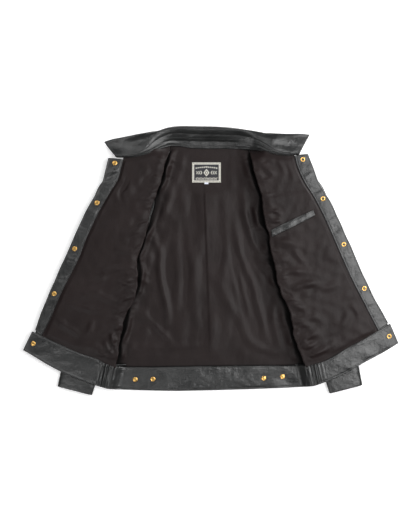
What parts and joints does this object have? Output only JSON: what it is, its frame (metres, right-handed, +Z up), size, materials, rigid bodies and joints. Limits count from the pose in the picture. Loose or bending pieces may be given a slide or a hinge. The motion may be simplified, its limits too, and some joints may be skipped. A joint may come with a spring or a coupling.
{
  "type": "leather work jacket",
  "caption": "Black leather work jacket with collar, snap front, waistband and full lining, lying open on its back with the fronts folded outwards.",
  "frame": {"origin": "under the middle of the jacket, on the surface that it lies on", "axes": "+X to the wearer's left, +Y towards the collar, +Z up, away from the back panel"},
  "size_m": [0.953, 0.6799, 0.0302],
  "materials": {
    "black_leather": "semi-matt grained cowhide",
    "lining_satin": "soft satin",
    "snap_brass": "polished",
    "label_cloth": "woven"
  },
  "bodies": {
    "root": {"adjuster_snap_caps": "snap_brass", "back_lining": "lining_satin", "back_panel": "black_leather", "back_waistband": "black_leather", "back_yoke": "black_leather", "collar_leaf": "black_leather", "collar_stand": "black_leather", "left_adjuster_tab": "black_leather", "left_shoulder_panel": "black_leather", "left_side_panel": "black_leather", "neck_label": "label_cloth", "right_adjuster_tab": "black_leather", "right_shoulder_panel": "black_leather", "right_side_panel": "black_leather", "size_label": "label_cloth", "waist_snap_posts": "snap_brass", "waist_snap_studs": "snap_brass"},
    "right_front": {"right_collar_wing": "black_leather", "right_front_lining": "lining_satin", "right_front_panel": "black_leather", "right_front_snap_posts": "snap_brass", "right_front_snap_studs": "snap_brass", "right_front_waistband": "black_leather", "right_placket": "black_leather"},
    "left_front": {"left_collar_wing": "black_leather", "left_front_lining": "lining_satin", "left_front_panel": "black_leather", "left_front_snap_caps": "snap_brass", "left_front_snap_sockets": "snap_brass", "left_front_waistband": "black_leather", "left_placket": "black_leather", "pocket_bag": "lining_satin", "pocket_welt": "black_leather"},
    "right_sleeve": {"right_cuff": "black_leather", "right_sleeve_lining": "lining_satin", "right_under_sleeve": "black_leather", "right_upper_sleeve": "black_leather"},
    "left_sleeve": {"left_cuff": "black_leather", "left_sleeve_lining": "lining_satin", "left_under_sleeve": "black_leather", "left_upper_sleeve": "black_leather"}
  },
  "joints": [
    {"name": "right_front_fold", "type": "hinge", "parent": "root", "child": "right_front", "pos_m": [-0.1015, 0.279, 0.0206], "axis": [0.2515, 0.9679, 0], "range_deg": [0, 179]},
    {"name": "left_front_fold", "type": "hinge", "parent": "root", "child": "left_front", "pos_m": [0.1015, 0.279, 0.0246], "axis": [0.2515, -0.9679, 0], "range_deg": [0, 176]},
    {"name": "right_sleeve_swing", "type": "hinge", "parent": "root", "child": "right_sleeve", "pos_m": [-0.222, 0.15, 0], "axis": [0, 0, -1], "range_deg": [0, 50]},
    {"name": "left_sleeve_swing", "type": "hinge", "parent": "root", "child": "left_sleeve", "pos_m": [0.222, 0.15, 0], "axis": [0, 0, 1], "range_deg": [0, 50]}
  ]
}
